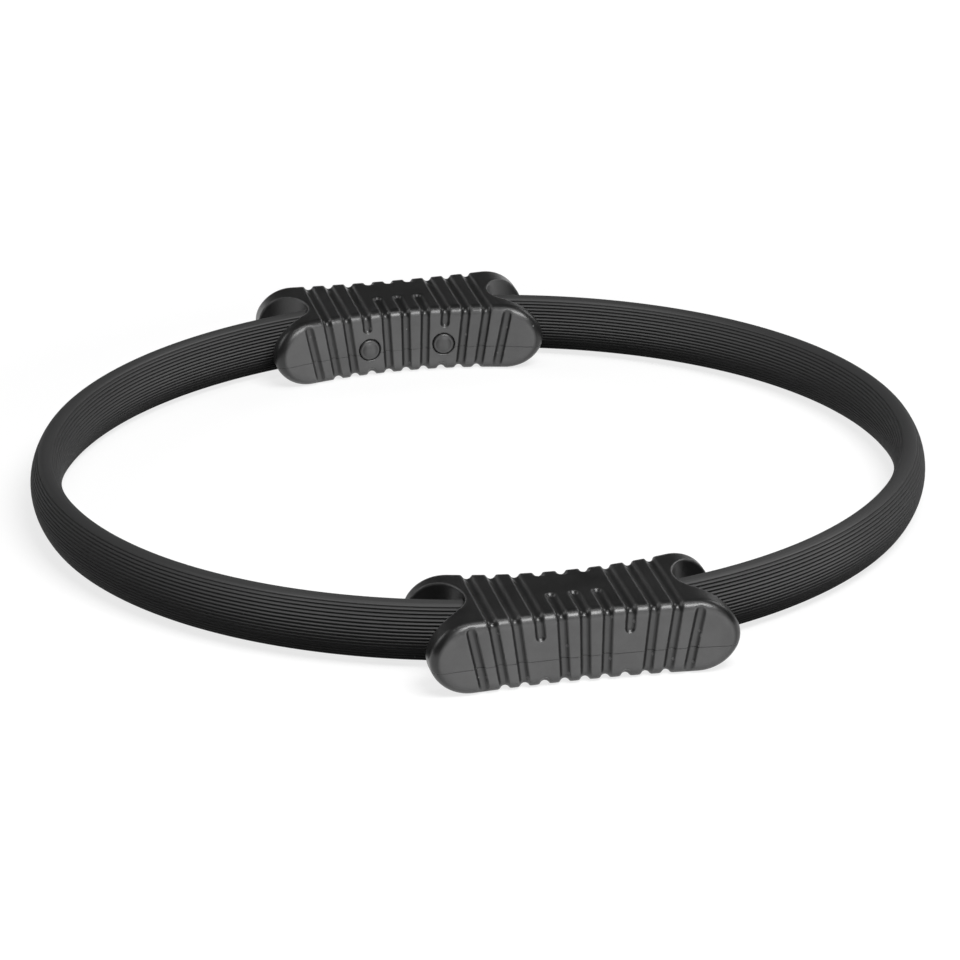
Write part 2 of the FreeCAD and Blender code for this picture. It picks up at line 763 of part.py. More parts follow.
plug_body = plug()
ferrule_bore = (cell("hoop_thickness") + cell("hoop_clearance") * 2, cell("hoop_height") + cell("hoop_clearance") * 2)
ferrule_reach = cell("ferrule_angle").value
ferrule_blank = ring_piece("ferrule_blank", -ferrule_reach, ferrule_reach, ferrule_bore, ribbed=False)
blank = grip_blank()
node(channelled(blank, "front_grip", "outer"), "front_grip")
node(mirrored(channelled(blank, "rear_grip", "inner"), "rear_grip", LENGTHWISE), "rear_grip")
for thing, name in (
    (cut(ferrule_blank, front_bores, "ferrule"), "ferrule"),
    (pair(screw(), "screws"), "screws"),
    (pair(insert(), "inserts"), "inserts"),
    (plug_body, "plug_right"),
    (mirrored(plug_body, "plug", ACROSS), "plug_left"),
):
    node(thing, f"front_{name}")
    node(mirrored(thing, f"rear_{name}", LENGTHWISE), f"rear_{name}")

first = cell("first_hinge_angle")
second = cell("second_hinge_angle")
hinge_angles = [first, second, cell("side_hinge_angle"), -second + HALF_TURN, -first + HALF_TURN]
second_share = cell("second_hinge_share").value
hinge_shares = [1.0, -second_share, -2 * (1 - second_share), -second_share, 1.0]

node(cut(hoop_piece("hoop_front_blank", -first, first, False, (1, -1)), front_bores, "hoop_front"), "hoop_front")
for index, (start, end) in enumerate(zip(hinge_angles, hinge_angles[1:]), start=1):
    link = hoop_piece(f"hoop_link_{index}", start, end, True, (1,))
    node(link, f"right_hoop_{index}")
    node(mirrored(link, f"left_hoop_{index}", ACROSS), f"left_hoop_{index}")
end_gap_angle = cell("hoop_end_gap") / 2 / centreline * math.degrees(1)
hoop_end_blank = hoop_piece("hoop_end_blank", hinge_angles[-1], -end_gap_angle + HALF_TURN, True, ())
hoop_end = cut(hoop_end_blank, rear_bores, "hoop_end")
node(hoop_end, "right_hoop_end")
node(mirrored(hoop_end, "left_hoop_end", ACROSS), "left_hoop_end")

sleeve_bore = ((cell("knuckle_radius") + cell("hoop_clearance")) * 2, ferrule_bore[1])
sleeve_start = ferrule_reach + math.degrees(cell("ferrule_gap").value / centreline.value)
stations = [sleeve_start] + [angle.value for angle in hinge_angles] + [HALF_TURN - sleeve_start]
for index, (start, end) in enumerate(zip(stations, stations[1:])):
    hinges = []
    if index > 0:
        hinges.append((start, hinge_shares[index - 1], 1))
    if index < len(hinge_shares):
        hinges.append((end, hinge_shares[index], -1))
    sleeve = ring_piece(f"sleeve_{index}", start, end, sleeve_bore, True, hinges)
    node(sleeve, f"right_sleeve_{index}")
    node(mirrored(sleeve, f"left_sleeve_{index}", ACROSS), f"left_sleeve_{index}")

doc.recompute()
for thing in doc.Objects:
    if "Invalid" in thing.State or "Error" in thing.State:
        raise RuntimeError(f"{thing.Label} did not build: {thing.State}")
for thing in nodes:
    shape = thing.Shape
    if shape.isNull() or not shape.isValid() or not shape.Solids:
        raise RuntimeError(f"{thing.Label} has no valid solid")

os.makedirs("parts", exist_ok=True)
for thing in nodes:
    thing.Shape.exportStep(f"parts/{thing.Label}.step")
whole = Part.makeCompound([thing.Shape for thing in nodes]).optimalBoundingBox()
print(f"{len(nodes)} nodes, {whole.XLength:.1f} x {whole.YLength:.1f} x {whole.ZLength:.1f} mm")
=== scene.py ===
"""Looks of a pilates ring: a ribbed rubber sleeve round a spring hoop, and two moulded grips with plugs.

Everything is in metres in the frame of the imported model. The ring lies flat with +Z up, the front grip is
at -Y, and angles round the ring start at the front grip and grow towards +X.
"""
import bmesh
import bpy
import json
import math
from mathutils import Matrix, Vector

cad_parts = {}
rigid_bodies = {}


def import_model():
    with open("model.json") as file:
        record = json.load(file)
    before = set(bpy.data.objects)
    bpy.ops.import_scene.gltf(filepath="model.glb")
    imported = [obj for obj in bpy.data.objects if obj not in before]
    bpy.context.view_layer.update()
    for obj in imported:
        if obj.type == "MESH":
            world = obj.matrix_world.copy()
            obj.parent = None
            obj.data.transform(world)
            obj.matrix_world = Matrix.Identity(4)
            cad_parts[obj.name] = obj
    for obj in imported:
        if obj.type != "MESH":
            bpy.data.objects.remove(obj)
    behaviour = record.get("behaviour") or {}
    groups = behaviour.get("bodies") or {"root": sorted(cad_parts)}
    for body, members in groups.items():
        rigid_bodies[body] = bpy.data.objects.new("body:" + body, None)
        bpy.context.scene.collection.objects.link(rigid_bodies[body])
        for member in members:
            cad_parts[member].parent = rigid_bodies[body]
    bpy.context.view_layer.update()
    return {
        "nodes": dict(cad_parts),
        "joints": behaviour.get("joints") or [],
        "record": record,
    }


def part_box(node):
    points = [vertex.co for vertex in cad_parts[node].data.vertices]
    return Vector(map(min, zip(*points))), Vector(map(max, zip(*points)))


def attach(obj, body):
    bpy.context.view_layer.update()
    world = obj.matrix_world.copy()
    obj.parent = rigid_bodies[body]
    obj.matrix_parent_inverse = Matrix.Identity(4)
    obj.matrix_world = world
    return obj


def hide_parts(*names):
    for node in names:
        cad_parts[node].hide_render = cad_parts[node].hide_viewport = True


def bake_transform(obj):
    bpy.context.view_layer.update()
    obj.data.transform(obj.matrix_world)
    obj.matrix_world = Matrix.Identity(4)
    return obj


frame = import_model()

MM = 0.001
MERGE_DISTANCE = 0.0001 * MM

# Ring: its centreline runs through the hinge lines, and its sleeve is an oval with ribbed flanks
CENTRELINE = Vector(frame["joints"][0]["pos_m"]).length
RING_HALF_WIDTH = 6.2 * MM
RING_HALF_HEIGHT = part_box("right_sleeve_1")[1].z
CROWN_RADIUS = 3.8 * MM
RIB_COUNT = 15
RIB_DEPTH = 0.35 * MM
STEPS_PER_RIB = 6
CROWN_STEPS = 16
SLICE_ANGLE = math.radians(0.75)
BORE_HALF_WIDTH = 3.3 * MM
BORE_HALF_HEIGHT = 7.7 * MM
BORE_CORNER_ANGLE = math.radians(60)
SLEEVE_START = math.radians(9.17)
LINK_COUNT = 4

# Grip: its size, its hollow faces, how finely it is remeshed and how far its edges are softened
GRIP_HALF_LENGTH = 58.0 * MM
GRIP_HALF_THICKNESS = 22.0 * MM
OUTER_FACE_HOLLOW = 4.0 * MM
INNER_FACE_HOLLOW = 12.5 * MM
GRIP_VOXEL = 0.42 * MM
SOFTEN_PASSES = 7
SOFTEN_SHARE = 0.5

# Parting line: a hairline groove round the grip, with planes counted in half widths from its bottom
PARTING_LEVEL = -3.6 * MM
PARTING_HALF_WIDTH = 0.2 * MM
PARTING_DEPTH = 0.35 * MM
PARTING_PLANES = (-2, -1, 0, 1, 2)
PARTING_TOLERANCE = 0.01 * MM

# Plug: a domed disc with a rounded rim, a little proud of the face
PLUG_PROUD = 1.4 * MM
PLUG_DOME = 1.0 * MM
PLUG_RIM = 1.0 * MM
PLUG_SIDES = 72
PLUG_RIM_STEPS = 6
PLUG_DOME_STEPS = 8
PLUG_EDGE_ANGLE = math.radians(40)

# Finish of grips and plugs: painted light greys the hollow faces, and painted shade keeps the rest black.
# The grey fades with the depth below the face, and as the surface tilts up or leans away from the face, so
# that tops, channel walls and plug rims stay black with painted shade
FULL_LIGHT_DEPTH = 0.4 * MM
FULL_SHADE_DEPTH = 3.2 * MM
UPRIGHT_TILT = 0.35
LEVEL_TILT = 0.75
SQUARE_LEAN = 0.24
WALL_LEAN = 0.56
RUBBED_GAIN = 1.1
GRIP_DUST_GREY = 0.25

# Finish of the sleeve: painted shade in greys from its underside to its top, then what changes them along
# the ring: one even grey at the bends and a painted shadow low down beside the grips
SLEEVE_UV = "along_and_round"
SLEEVE_TONES = ((0.2, 0.003), (0.4, 0.016), (0.55, 0.037), (0.72, 0.125), (0.95, 0.05))
UNDERSIDE_FACING = -0.8
TOP_FACING = 1.2
STREAK_SHARE = 0.4
STREAK_SCALE = (12.0, 1400.0, 1.0)
BEND_START = 105.0 * MM
BEND_FULL = 160.0 * MM
BEND_SHARE = 0.85
BEND_COLOUR = (0.042, 0.042, 0.0424)
SHADE_END = 110.0 * MM
SHADE_SHARE = 0.9
SHADE_COLOUR = (0.004, 0.004, 0.0041)
SHADED_FACING = -0.1
UNSHADED_FACING = 0.5
SLEEVE_CLOUD_SHARE = 0.1
SLEEVE_CLOUD_COLOUR = (0.04, 0.04, 0.0404)
SLEEVE_DUST_GREY = 0.13

# Finish of the hoop: straw resin with pale fibres, which run along the strip and are fine across it
FIBRE_SCALE = (60.0, 60.0, 3000.0)
RESIN_COLOUR = (0.36, 0.33, 0.2)
FIBRE_COLOUR = (0.58, 0.55, 0.4)

# Camera: the photograph's view of the ring
CAMERA_DISTANCE = 1.9778
CAMERA_AZIMUTH = math.radians(-11.3)
CAMERA_ELEVATION = math.radians(20.87)
CAMERA_ROLL = math.radians(-1.14)
IMAGE_SIDE = 960
FOCAL_PIXELS = 4955.0
RING_CENTRE_PIXEL = (477.6, 463.1)
SENSOR_WIDTH = 36.0

# Studio: a round white floor that sweeps up far away, a dim surround and soft lamps
FLOOR_RADIUS = 20.0
COVE_RADIUS = 2.2
COVE_SIDES = 96
COVE_STEPS = 16
FLOOR_MERGE_DISTANCE = 0.001 * MM
FLOOR_PAPER_GREY = 0.26
GLOW_NEAR = 0.77
GLOW_FAR = 1.0
GLOW_NEAR_RADIUS = 0.25
GLOW_FAR_RADIUS = 0.6
WHITE = (1.0, 1.0, 1.0, 1.0)
SURROUND_STRENGTH = 0.03

# Lamps: azimuth and elevation in degrees, distance, width and height in metres, power in watts
SOFTBOXES = {
    "front_softbox": (20.0, 55.0, 1.5, 0.85, 0.55, 21.0),
    "top_strip": (0.0, 86.0, 1.5, 1.2, 0.25, 4.0),
    "right_back_softbox": (125.0, 30.0, 2.2, 1.2, 0.8, 6.0),
    "left_back_softbox": (235.0, 30.0, 2.2, 1.2, 0.8, 6.0),
}

# Places of the colour sockets on a Mix node, which share their names with its other sockets
MIX_SHARE = 0
MIX_FIRST = 6
MIX_SECOND = 7
MIX_RESULT = 2


# Node helpers
def add_node(tree, kind, inputs=None, **settings):
    """Add a shader node, set its properties, and set or link its inputs."""
    made = tree.nodes.new(f"ShaderNode{kind}")
    for name, value in settings.items():
        setattr(made, name, value)
    for name, value in (inputs or {}).items():
        if isinstance(value, bpy.types.NodeSocket):
            tree.links.new(value, made.inputs[name])
        else:
            made.inputs[name].default_value = value
    return made


def grey(tone):
    return (tone, tone, tone)


def blend_colours(tree, share, first, second):
    """Mix two colours, each a plain colour or a socket, by a share that is a socket."""
    inputs = {MIX_SHARE: share}
    for index, colour in ((MIX_FIRST, first), (MIX_SECOND, second)):
        inputs[index] = colour if isinstance(colour, bpy.types.NodeSocket) else (*colour, 1.0)
    return add_node(tree, "Mix", inputs, data_type="RGBA").outputs[MIX_RESULT]


def shade_by(tree, value, tones):
    """A grey that follows a value from 0 to 1 through tones given as (place, grey) pairs."""
    ramp = add_node(tree, "ValToRGB", {"Fac": value})
    stops = ramp.color_ramp.elements
    for stop, (place, tone) in zip([stops[0], stops[1]] + [stops.new(1.0) for _ in tones[2:]], tones):
        stop.position = place
        stop.color = (*grey(tone), 1.0)
    return ramp.outputs["Color"]


def spread(tree, value, low, high, from_low=0.0, from_high=1.0):
    """Map a value that changes over the surface to another range."""
    made = add_node(tree, "MapRange", {"Value": value, "From Min": from_low, "From Max": from_high,
                                       "To Min": low, "To Max": high})
    return made.outputs["Result"]


def vary(tree, share, middle, swing):
    """A value that moves to both sides of its middle with a share from 0 to 1."""
    return spread(tree, share, middle - swing, middle + swing)


def reckon(tree, operation, *values):
    """One step of arithmetic on values that are sockets or plain numbers."""
    return add_node(tree, "Math", dict(enumerate(values)), operation=operation).outputs["Value"]


def noise(tree, place, scale, detail, roughness=0.5):
    made = add_node(tree, "TexNoise", {"Vector": place, "Scale": scale, "Detail": detail,
                                       "Roughness": roughness})
    return made.outputs["Fac"]


def stretch(tree, place, scale):
    return add_node(tree, "Mapping", {"Vector": place, "Scale": scale}).outputs["Vector"]


def place_and_facing(tree):
    """Where a point of the surface lies and which way it looks there, each as X, Y and Z sockets."""
    coordinates = add_node(tree, "TexCoord").outputs
    place = add_node(tree, "SeparateXYZ", {"Vector": coordinates["Object"]}).outputs
    facing = add_node(tree, "SeparateXYZ", {"Vector": coordinates["Normal"]}).outputs
    return place, facing


def new_group(name, inputs, outputs):
    """An empty node group with number sockets; returns it with the sockets to read and to feed."""
    group = bpy.data.node_groups.new(name, "ShaderNodeTree")
    for label, default in inputs.items():
        socket = group.interface.new_socket(name=label, in_out="INPUT", socket_type="NodeSocketFloat")
        socket.default_value = default
    for label in outputs:
        group.interface.new_socket(name=label, in_out="OUTPUT", socket_type="NodeSocketFloat")
    return group, group.nodes.new("NodeGroupInput").outputs, group.nodes.new("NodeGroupOutput").inputs


def place_group(tree, group, **inputs):
    """Place a node group in a material with its own values; returns its outputs."""
    made = tree.nodes.new("ShaderNodeGroup")
    made.node_tree = group
    for name, value in inputs.items():
        made.inputs[name.replace("_", " ").title()].default_value = value
    return made.outputs


# Effects that several finishes share, with the grips' values as the defaults
def moulded_skin_group():
    """Fine grain left by the mould, and cloudy patches where the skin cooled unevenly."""
    values = {"Grain Scale": 1600.0, "Cloud Scale": 45.0}
    group, given, result = new_group("moulded_skin", values, ("Grain", "Cloud"))
    place = add_node(group, "TexCoord").outputs["Object"]
    grain = noise(group, place, given["Grain Scale"], detail=3.0, roughness=0.6)
    cloud = noise(group, place, given["Cloud Scale"], detail=5.0, roughness=0.62)
    group.links.new(grain, result["Grain"])
    group.links.new(spread(group, cloud, 0.0, 1.0, from_low=0.36, from_high=0.64), result["Cloud"])
    return group


def rubbed_edges_group():
    """Patchy rubbing along the edges, where hands and floors touch."""
    values = {"Edge Start": 0.51, "Edge Full": 0.56, "Patch Scale": 140.0}
    group, given, result = new_group("rubbed_edges", values, ("Rub",))
    place = add_node(group, "TexCoord").outputs["Object"]
    pointed = add_node(group, "NewGeometry").outputs["Pointiness"]
    edge = spread(group, pointed, 0.0, 1.0, given["Edge Start"], given["Edge Full"])
    patches = noise(group, place, given["Patch Scale"], detail=4.0)
    group.links.new(reckon(group, "MULTIPLY", edge, patches), result["Rub"])
    return group


def dust_specks_group():
    """A few specks of dust: the surface is divided into cells, and a share of them hold a speck."""
    values = {"Cell Scale": 150.0, "Speck Share": 0.06, "Speck Size": 0.05}
    group, given, result = new_group("dust_specks", values, ("Specks",))
    place = add_node(group, "TexCoord").outputs["Object"]
    cells = add_node(group, "TexVoronoi", {"Vector": place, "Scale": given["Cell Scale"]}).outputs
    near = reckon(group, "LESS_THAN", cells["Distance"], given["Speck Size"])
    lot = add_node(group, "SeparateColor", {"Color": cells["Color"]}).outputs["Red"]
    chosen = reckon(group, "LESS_THAN", lot, given["Speck Share"])
    group.links.new(reckon(group, "MULTIPLY", near, chosen), result["Specks"])
    return group


moulded_skin = moulded_skin_group()
rubbed_edges = rubbed_edges_group()
dust_specks = dust_specks_group()


# Finishes
def empty_material(name):
    material = bpy.data.materials.new(name)
    material.use_nodes = True
    material.node_tree.nodes.clear()
    return material, material.node_tree


def new_finish(name, **settings):
    """A material with one Principled shader, whose plain settings are set on its own sockets."""
    material, tree = empty_material(name)
    values = {key.replace("_", " "): value for key, value in settings.items()}
    shader = add_node(tree, "BsdfPrincipled", values)
    add_node(tree, "OutputMaterial", {"Surface": shader.outputs["BSDF"]})
    return material, tree, shader


def dress(tree, shader, colour, roughness, height, depth):
    """Feed a shader its colour and roughness, and a bump of the given depth."""
    bump = add_node(tree, "Bump", {"Height": height, "Distance": depth, "Strength": 1.0})
    tree.links.new(colour, shader.inputs["Base Color"])
    tree.links.new(roughness, shader.inputs["Roughness"])
    tree.links.new(bump.outputs["Normal"], shader.inputs["Normal"])


def painted_light_share(tree):
    """Painted light and shade on a grip: 1 on its hollow faces, which are painted lit grey, 0 on its top and
    in its channels, which stay in painted shade.
    """
    place, facing = place_and_facing(tree)
    along = reckon(tree, "POWER", place["X"], 2.0)
    beyond = reckon(tree, "SUBTRACT", reckon(tree, "ABSOLUTE", place["Y"]), CENTRELINE)
    tilt = reckon(tree, "ABSOLUTE", facing["Z"])
    shares = []
    for hollow, sign in ((OUTER_FACE_HOLLOW, -1.0), (INNER_FACE_HOLLOW, 1.0)):
        bow = hollow / GRIP_HALF_LENGTH ** 2
        face = reckon(tree, "MULTIPLY_ADD", along, bow, GRIP_HALF_THICKNESS)
        depth = reckon(tree, "MULTIPLY_ADD", beyond, sign, face)
        near_face = spread(tree, depth, 1.0, 0.0, FULL_LIGHT_DEPTH, FULL_SHADE_DEPTH)
        lean = reckon(tree, "MULTIPLY_ADD", place["X"], 2 * bow, facing["X"])
        square = spread(tree, reckon(tree, "ABSOLUTE", lean), 1.0, 0.0, SQUARE_LEAN, WALL_LEAN)
        shares.append(reckon(tree, "MULTIPLY", near_face, square))
    upright = spread(tree, tilt, 1.0, 0.0, UPRIGHT_TILT, LEVEL_TILT)
    return reckon(tree, "MULTIPLY", reckon(tree, "MAXIMUM", *shares), upright)


def painted_light_rubber_finish(name, shade_tones, lit_tones, rough):
    """Satin moulded rubber: black with painted shade on tops and in channels, and cloudy grey with painted
    light on the hollow faces.
    """
    material, tree, shader = new_finish(name, Specular_IOR_Level=0.65)
    skin = place_group(tree, moulded_skin)
    rub = place_group(tree, rubbed_edges)["Rub"]
    specks = place_group(tree, dust_specks)["Specks"]
    shaded_look = blend_colours(tree, skin["Cloud"], *map(grey, shade_tones))
    lit_look = blend_colours(tree, skin["Cloud"], *map(grey, lit_tones))
    # Painted light greys the hollow faces; painted shade keeps tops, channels and rims black
    tone = blend_colours(tree, painted_light_share(tree), shaded_look, lit_look)
    rubbed = blend_colours(tree, rub, tone, grey(RUBBED_GAIN * lit_tones[1]))
    dusty = blend_colours(tree, specks, rubbed, grey(GRIP_DUST_GREY))
    roughness = vary(tree, skin["Cloud"], rough, swing=0.04)
    dress(tree, shader, dusty, roughness, height=skin["Grain"], depth=0.03 * MM)
    return material


def sleeve_rubber_finish(name):
    """Streaky extruded rubber with painted shade: paler above and darker below, evened to one grey at the
    bends, and a painted shadow near black low down by the grips.
    """
    material, tree, shader = new_finish(name, Specular_IOR_Level=0.05)
    skin = place_group(tree, moulded_skin, grain_scale=2200.0, cloud_scale=30.0)
    specks = place_group(tree, dust_specks, cell_scale=120.0, speck_share=0.04, speck_size=0.04)["Specks"]
    along = add_node(tree, "UVMap", uv_map=SLEEVE_UV).outputs["UV"]
    streaks = noise(tree, stretch(tree, along, STREAK_SCALE), 1.0, detail=3.0)
    place, facing = place_and_facing(tree)
    sideways = reckon(tree, "ABSOLUTE", place["X"])
    # Painted shade: paler where the surface faces up, darker where it faces down, made uneven by the streaks
    uneven = reckon(tree, "MULTIPLY_ADD", streaks, STREAK_SHARE, facing["Z"])
    tone = shade_by(tree, spread(tree, uneven, 0.0, 1.0, UNDERSIDE_FACING, TOP_FACING), SLEEVE_TONES)
    # At the bends the painted shade gives way to one even grey
    at_bend = spread(tree, sideways, 0.0, BEND_SHARE, BEND_START, BEND_FULL)
    tone = blend_colours(tree, at_bend, tone, BEND_COLOUR)
    # Painted shadow of the grips on the sleeve, low down beside them
    beside_grip = spread(tree, sideways, SHADE_SHARE, 0.0, GRIP_HALF_LENGTH, SHADE_END)
    low_down = spread(tree, facing["Z"], 1.0, 0.0, SHADED_FACING, UNSHADED_FACING)
    tone = blend_colours(tree, reckon(tree, "MULTIPLY", beside_grip, low_down), tone, SHADE_COLOUR)
    clouds = spread(tree, skin["Cloud"], 0.0, SLEEVE_CLOUD_SHARE)
    cloudy = blend_colours(tree, clouds, tone, SLEEVE_CLOUD_COLOUR)
    dusty = blend_colours(tree, specks, cloudy, grey(SLEEVE_DUST_GREY))
    roughness = vary(tree, streaks, 0.57, swing=0.07)
    dress(tree, shader, dusty, roughness, height=skin["Grain"], depth=0.02 * MM)
    return material


def moulded_plastic_finish(name, dark, light, worn, rough):
    """Matt moulded plastic between two tones, with worn edges."""
    material, tree, shader = new_finish(name)
    skin = place_group(tree, moulded_skin, grain_scale=2400.0, cloud_scale=110.0)
    tone = blend_colours(tree, skin["Cloud"], dark, light)
    rubbed = blend_colours(tree, place_group(tree, rubbed_edges)["Rub"], tone, worn)
    roughness = vary(tree, skin["Cloud"], rough, swing=0.05)
    dress(tree, shader, rubbed, roughness, height=skin["Grain"], depth=0.015 * MM)
    return material


def glass_fibre_finish(name):
    """Pultruded strip: straw resin with fine fibres along the hoop."""
    material, tree, shader = new_finish(name)
    place = add_node(tree, "TexCoord").outputs["Object"]
    fibres = noise(tree, stretch(tree, place, FIBRE_SCALE), 1.0, detail=4.0)
    tone = blend_colours(tree, fibres, RESIN_COLOUR, FIBRE_COLOUR)
    dress(tree, shader, tone, vary(tree, fibres, 0.45, swing=0.1), height=fibres, depth=0.03 * MM)
    return material


def turned_metal_finish(name, dark, light, rough):
    """Metal with the fine marks of turning or plating."""
    material, tree, shader = new_finish(name, Metallic=1.0)
    skin = place_group(tree, moulded_skin, grain_scale=3000.0, cloud_scale=300.0)
    tone = blend_colours(tree, skin["Cloud"], dark, light)
    roughness = vary(tree, skin["Grain"], rough, swing=0.08)
    dress(tree, shader, tone, roughness, height=skin["Grain"], depth=0.01 * MM)
    return material


finishes = {
    # Grips and plugs: painted light on their hollow faces, painted shade on their tops, channels and rims
    "grip_rubber": painted_light_rubber_finish(
        "grip_rubber", shade_tones=(0.009, 0.013), lit_tones=(0.106, 0.144), rough=0.35),
    "plug_plastic": painted_light_rubber_finish(
        "plug_plastic", shade_tones=(0.006, 0.008), lit_tones=(0.1, 0.12), rough=0.36),
    "sleeve_rubber": sleeve_rubber_finish("sleeve_rubber"),
    "hoop_fibreglass": glass_fibre_finish("hoop_fibreglass"),
    "ferrule_plastic": moulded_plastic_finish(
        "ferrule_plastic", dark=(0.12, 0.12, 0.125), light=(0.16, 0.16, 0.165),
        worn=(0.32, 0.32, 0.33), rough=0.5),
    "screw_steel": turned_metal_finish(
        "screw_steel", dark=(0.5, 0.5, 0.51), light=(0.62, 0.62, 0.63), rough=0.32),
    "insert_brass": turned_metal_finish(
        "insert_brass", dark=(0.62, 0.44, 0.18), light=(0.74, 0.55, 0.27), rough=0.28),
}
for subpart in frame["record"]["subparts"]:
    mesh = frame["nodes"][subpart["node"]].data
    mesh.materials.clear()
    mesh.materials.append(finishes[subpart["material_slot"]])


# Shape helpers
def put_in_scene(name, data):
    made = bpy.data.objects.new(name, data)
    bpy.context.scene.collection.objects.link(made)
    return made


def mesh_from(bm, name):
    """Turn a bmesh into a mesh and free it."""
    mesh = bpy.data.meshes.new(name)
    bm.to_mesh(mesh)
    bm.free()
    return mesh


def spun_bmesh(points, axis, sides, merge):
    """Spin a line of points about an axis through the origin into a smooth surface."""
    bm = bmesh.new()
    corners = [bm.verts.new(point) for point in points]
    edges = [bm.edges.new(pair) for pair in zip(corners, corners[1:])]
    bmesh.ops.spin(bm, geom=corners + edges, axis=axis, cent=(0.0, 0.0, 0.0), angle=2 * math.pi,
                   steps=sides, use_merge=True)
    bmesh.ops.remove_doubles(bm, verts=bm.verts, dist=merge)
    for face in bm.faces:
        face.smooth = True
    return bm


def on_ring(outward, up, angle):
    """A point at an angle round the ring, measured outward and up from the centreline."""
    reach = CENTRELINE + outward
    return Vector((reach * math.sin(angle), -reach * math.cos(angle), up))


# Pieces
def add_piece(name, mesh, slot):
    """Put a mesh in the scene with the finish of its material slot."""
    piece = put_in_scene(name, mesh)
    mesh.materials.clear()
    mesh.materials.append(finishes[slot])
    return piece


def sleeve_outline():
    """The ribbed oval as (outward, up) points, anticlockwise from the foot of the outer flank."""
    rise = RING_HALF_HEIGHT - CROWN_RADIUS
    chord = rise ** 2 + RING_HALF_WIDTH ** 2 - CROWN_RADIUS ** 2
    flank_radius = chord / (2 * (RING_HALF_WIDTH - CROWN_RADIUS))
    turn = math.atan2(rise, flank_radius - RING_HALF_WIDTH)
    steps = RIB_COUNT * STEPS_PER_RIB
    points = []
    for side in (1, -1):
        for step in range(steps + 1):
            angle = turn * (2 * step / steps - 1)
            across_rib = 2 * (step % STEPS_PER_RIB) / STEPS_PER_RIB - 1
            radius = flank_radius - RIB_DEPTH * across_rib ** 2
            outward = RING_HALF_WIDTH - flank_radius + radius * math.cos(angle)
            points.append((side * outward, side * radius * math.sin(angle)))
        for step in range(1, CROWN_STEPS):
            angle = turn + (math.pi - 2 * turn) * step / CROWN_STEPS
            height = rise + CROWN_RADIUS * math.sin(angle)
            points.append((side * CROWN_RADIUS * math.cos(angle), side * height))
    return points


def bore_outline():
    """The flat bore for the hoop as (outward, up) points, anticlockwise."""
    corners = ((1, -1), (1, 1), (-1, 1), (-1, -1))
    return [(across * BORE_HALF_WIDTH, along * BORE_HALF_HEIGHT) for across, along in corners]


def sweep_outline(bm, outline, angles, layer):
    """Turn an outline about the ring's axis; returns the edges of its two open ends."""
    slices = [[bm.verts.new(on_ring(*point, angle)) for point in outline] for angle in angles]
    lengths = [0.0]
    for start, end in zip(outline, outline[1:] + outline[:1]):
        lengths.append(lengths[-1] + math.dist(start, end))
    for here, following, angle, next_angle in zip(slices, slices[1:], angles, angles[1:]):
        for index in range(len(outline)):
            after = (index + 1) % len(outline)
            face = bm.faces.new((here[index], here[after], following[after], following[index]))
            face.smooth = True
            corners = ((angle, index), (angle, index + 1), (next_angle, index + 1), (next_angle, index))
            for loop, (turned, reached) in zip(face.loops, corners):
                loop[layer].uv = (turned * CENTRELINE, lengths[reached])
    ends = []
    for ring in (slices[0], slices[-1]):
        ends.append([bm.edges.get((ring[index - 1], ring[index])) for index in range(len(ring))])
    return ends


def sleeve_mesh(name, start, end):
    """One stretch of the sleeve: a ribbed tube with its bore, closed at both ends."""
    bm = bmesh.new()
    layer = bm.loops.layers.uv.new(SLEEVE_UV)
    count = max(2, round(abs(end - start) / SLICE_ANGLE))
    angles = [start + (end - start) * step / count for step in range(count + 1)]
    outside = sweep_outline(bm, sleeve_outline(), angles, layer)
    inside = sweep_outline(bm, bore_outline(), angles, layer)
    for outer, inner in zip(outside, inside):
        bmesh.ops.bridge_loops(bm, edges=outer + inner)
        for edge in outer + inner:
            edge.smooth = False
    for edge in bm.edges:
        if len(edge.link_faces) == 2 and edge.calc_face_angle(0.0) > BORE_CORNER_ANGLE:
            edge.smooth = False
    bmesh.ops.recalc_face_normals(bm, faces=bm.faces)
    return mesh_from(bm, name)


def add_sleeve(side, sign, last_body):
    """The sleeve on one side: five stretches, each reaching evenly to both sides of its hinge line."""
    bodies = ["front_grip"] + [f"{side}_link_{link}" for link in range(1, LINK_COUNT + 1)] + [last_body]
    hinge_places = [next(joint["pos_m"] for joint in frame["joints"]
                         if joint["parent"] == before and joint["child"] == after)
                    for before, after in zip(bodies, bodies[1:])]
    hinges = [math.atan2(abs(place[0]), -place[1]) for place in hinge_places]
    limits = [SLEEVE_START] + [(low + high) / 2 for low, high in zip(hinges, hinges[1:])]
    limits.append(math.pi - SLEEVE_START)
    for index, (start, hinge, end) in enumerate(zip(limits, hinges, limits[1:])):
        name = f"{side}_sleeve_stretch_{index + 1}"
        piece = add_piece(name, sleeve_mesh(name, sign * start, sign * end), "sleeve_rubber")
        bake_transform(piece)
        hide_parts(f"{side}_sleeve_{index}", f"{side}_sleeve_{index + 1}")


def soft_grip_mesh(node):
    """A grip's moulding with soft edges: its solid is remeshed finely and relaxed."""
    source = put_in_scene("grip_source", frame["nodes"][node].data.copy())
    remesh = source.modifiers.new("even_mesh", "REMESH")
    remesh.mode = "VOXEL"
    remesh.voxel_size = GRIP_VOXEL
    soften = source.modifiers.new("soft_edges", "SMOOTH")
    soften.factor = SOFTEN_SHARE
    soften.iterations = SOFTEN_PASSES
    depsgraph = bpy.context.evaluated_depsgraph_get()
    mesh = bpy.data.meshes.new_from_object(source.evaluated_get(depsgraph))
    bpy.data.objects.remove(source)
    return mesh


